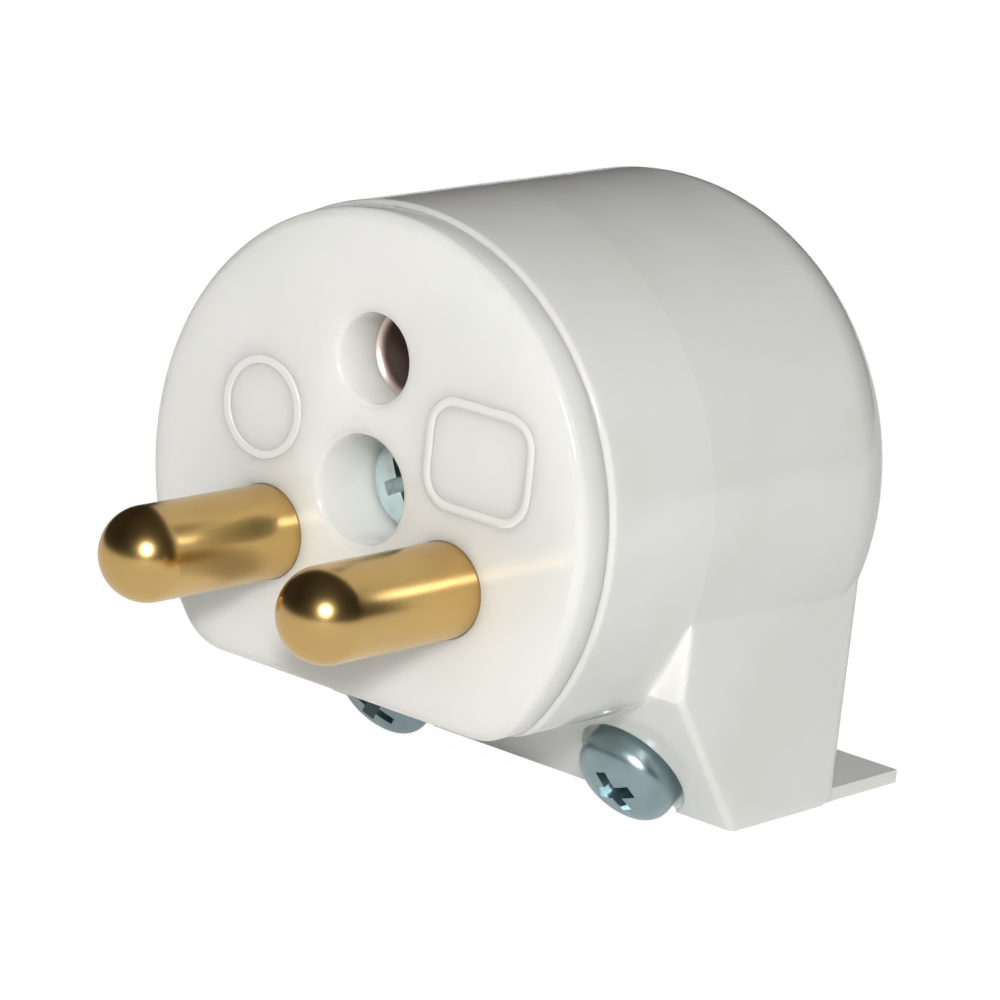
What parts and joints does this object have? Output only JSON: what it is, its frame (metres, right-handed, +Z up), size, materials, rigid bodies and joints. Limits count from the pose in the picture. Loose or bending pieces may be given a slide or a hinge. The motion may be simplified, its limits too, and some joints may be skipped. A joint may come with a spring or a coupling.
{
  "type": "lamp plug",
  "caption": "Angled earthed lamp plug: round pins and an earth socket on a flat-sided face, a screwed drum cover and a cord outlet block below with a screw-down cord clamp.",
  "frame": {"origin": "middle of the round contact face, where the plug's axis meets the front plane of the face", "axes": "+Y back into the cover along the plug's axis, so the pins point to -Y; +Z up towards the earth socket; +X to the right seen from the pin side"},
  "size_m": [0.0304, 0.0444, 0.0329],
  "materials": {
    "white_plastic": "glossy moulded, white",
    "brass": "turned and polished",
    "tinned_brass": "turned, darkened inside",
    "spring_steel": "bright spring strip",
    "zinc_steel": "zinc plated, bluish"
  },
  "bodies": {
    "root": {"contact_base": "white_plastic", "cover": "white_plastic", "cord_clamp": "white_plastic", "left_pin": "brass", "right_pin": "brass", "cover_insert": "brass", "left_clamp_insert": "brass", "right_clamp_insert": "brass", "earth_sleeve": "tinned_brass", "earth_spring": "spring_steel", "left_wire_washer": "zinc_steel", "right_wire_washer": "zinc_steel", "earth_wire_washer": "zinc_steel", "left_terminal_screw": "zinc_steel", "right_terminal_screw": "zinc_steel", "earth_terminal_screw": "zinc_steel", "cover_screw": "zinc_steel", "left_clamp_screw": "zinc_steel", "right_clamp_screw": "zinc_steel"}
  },
  "joints": []
}
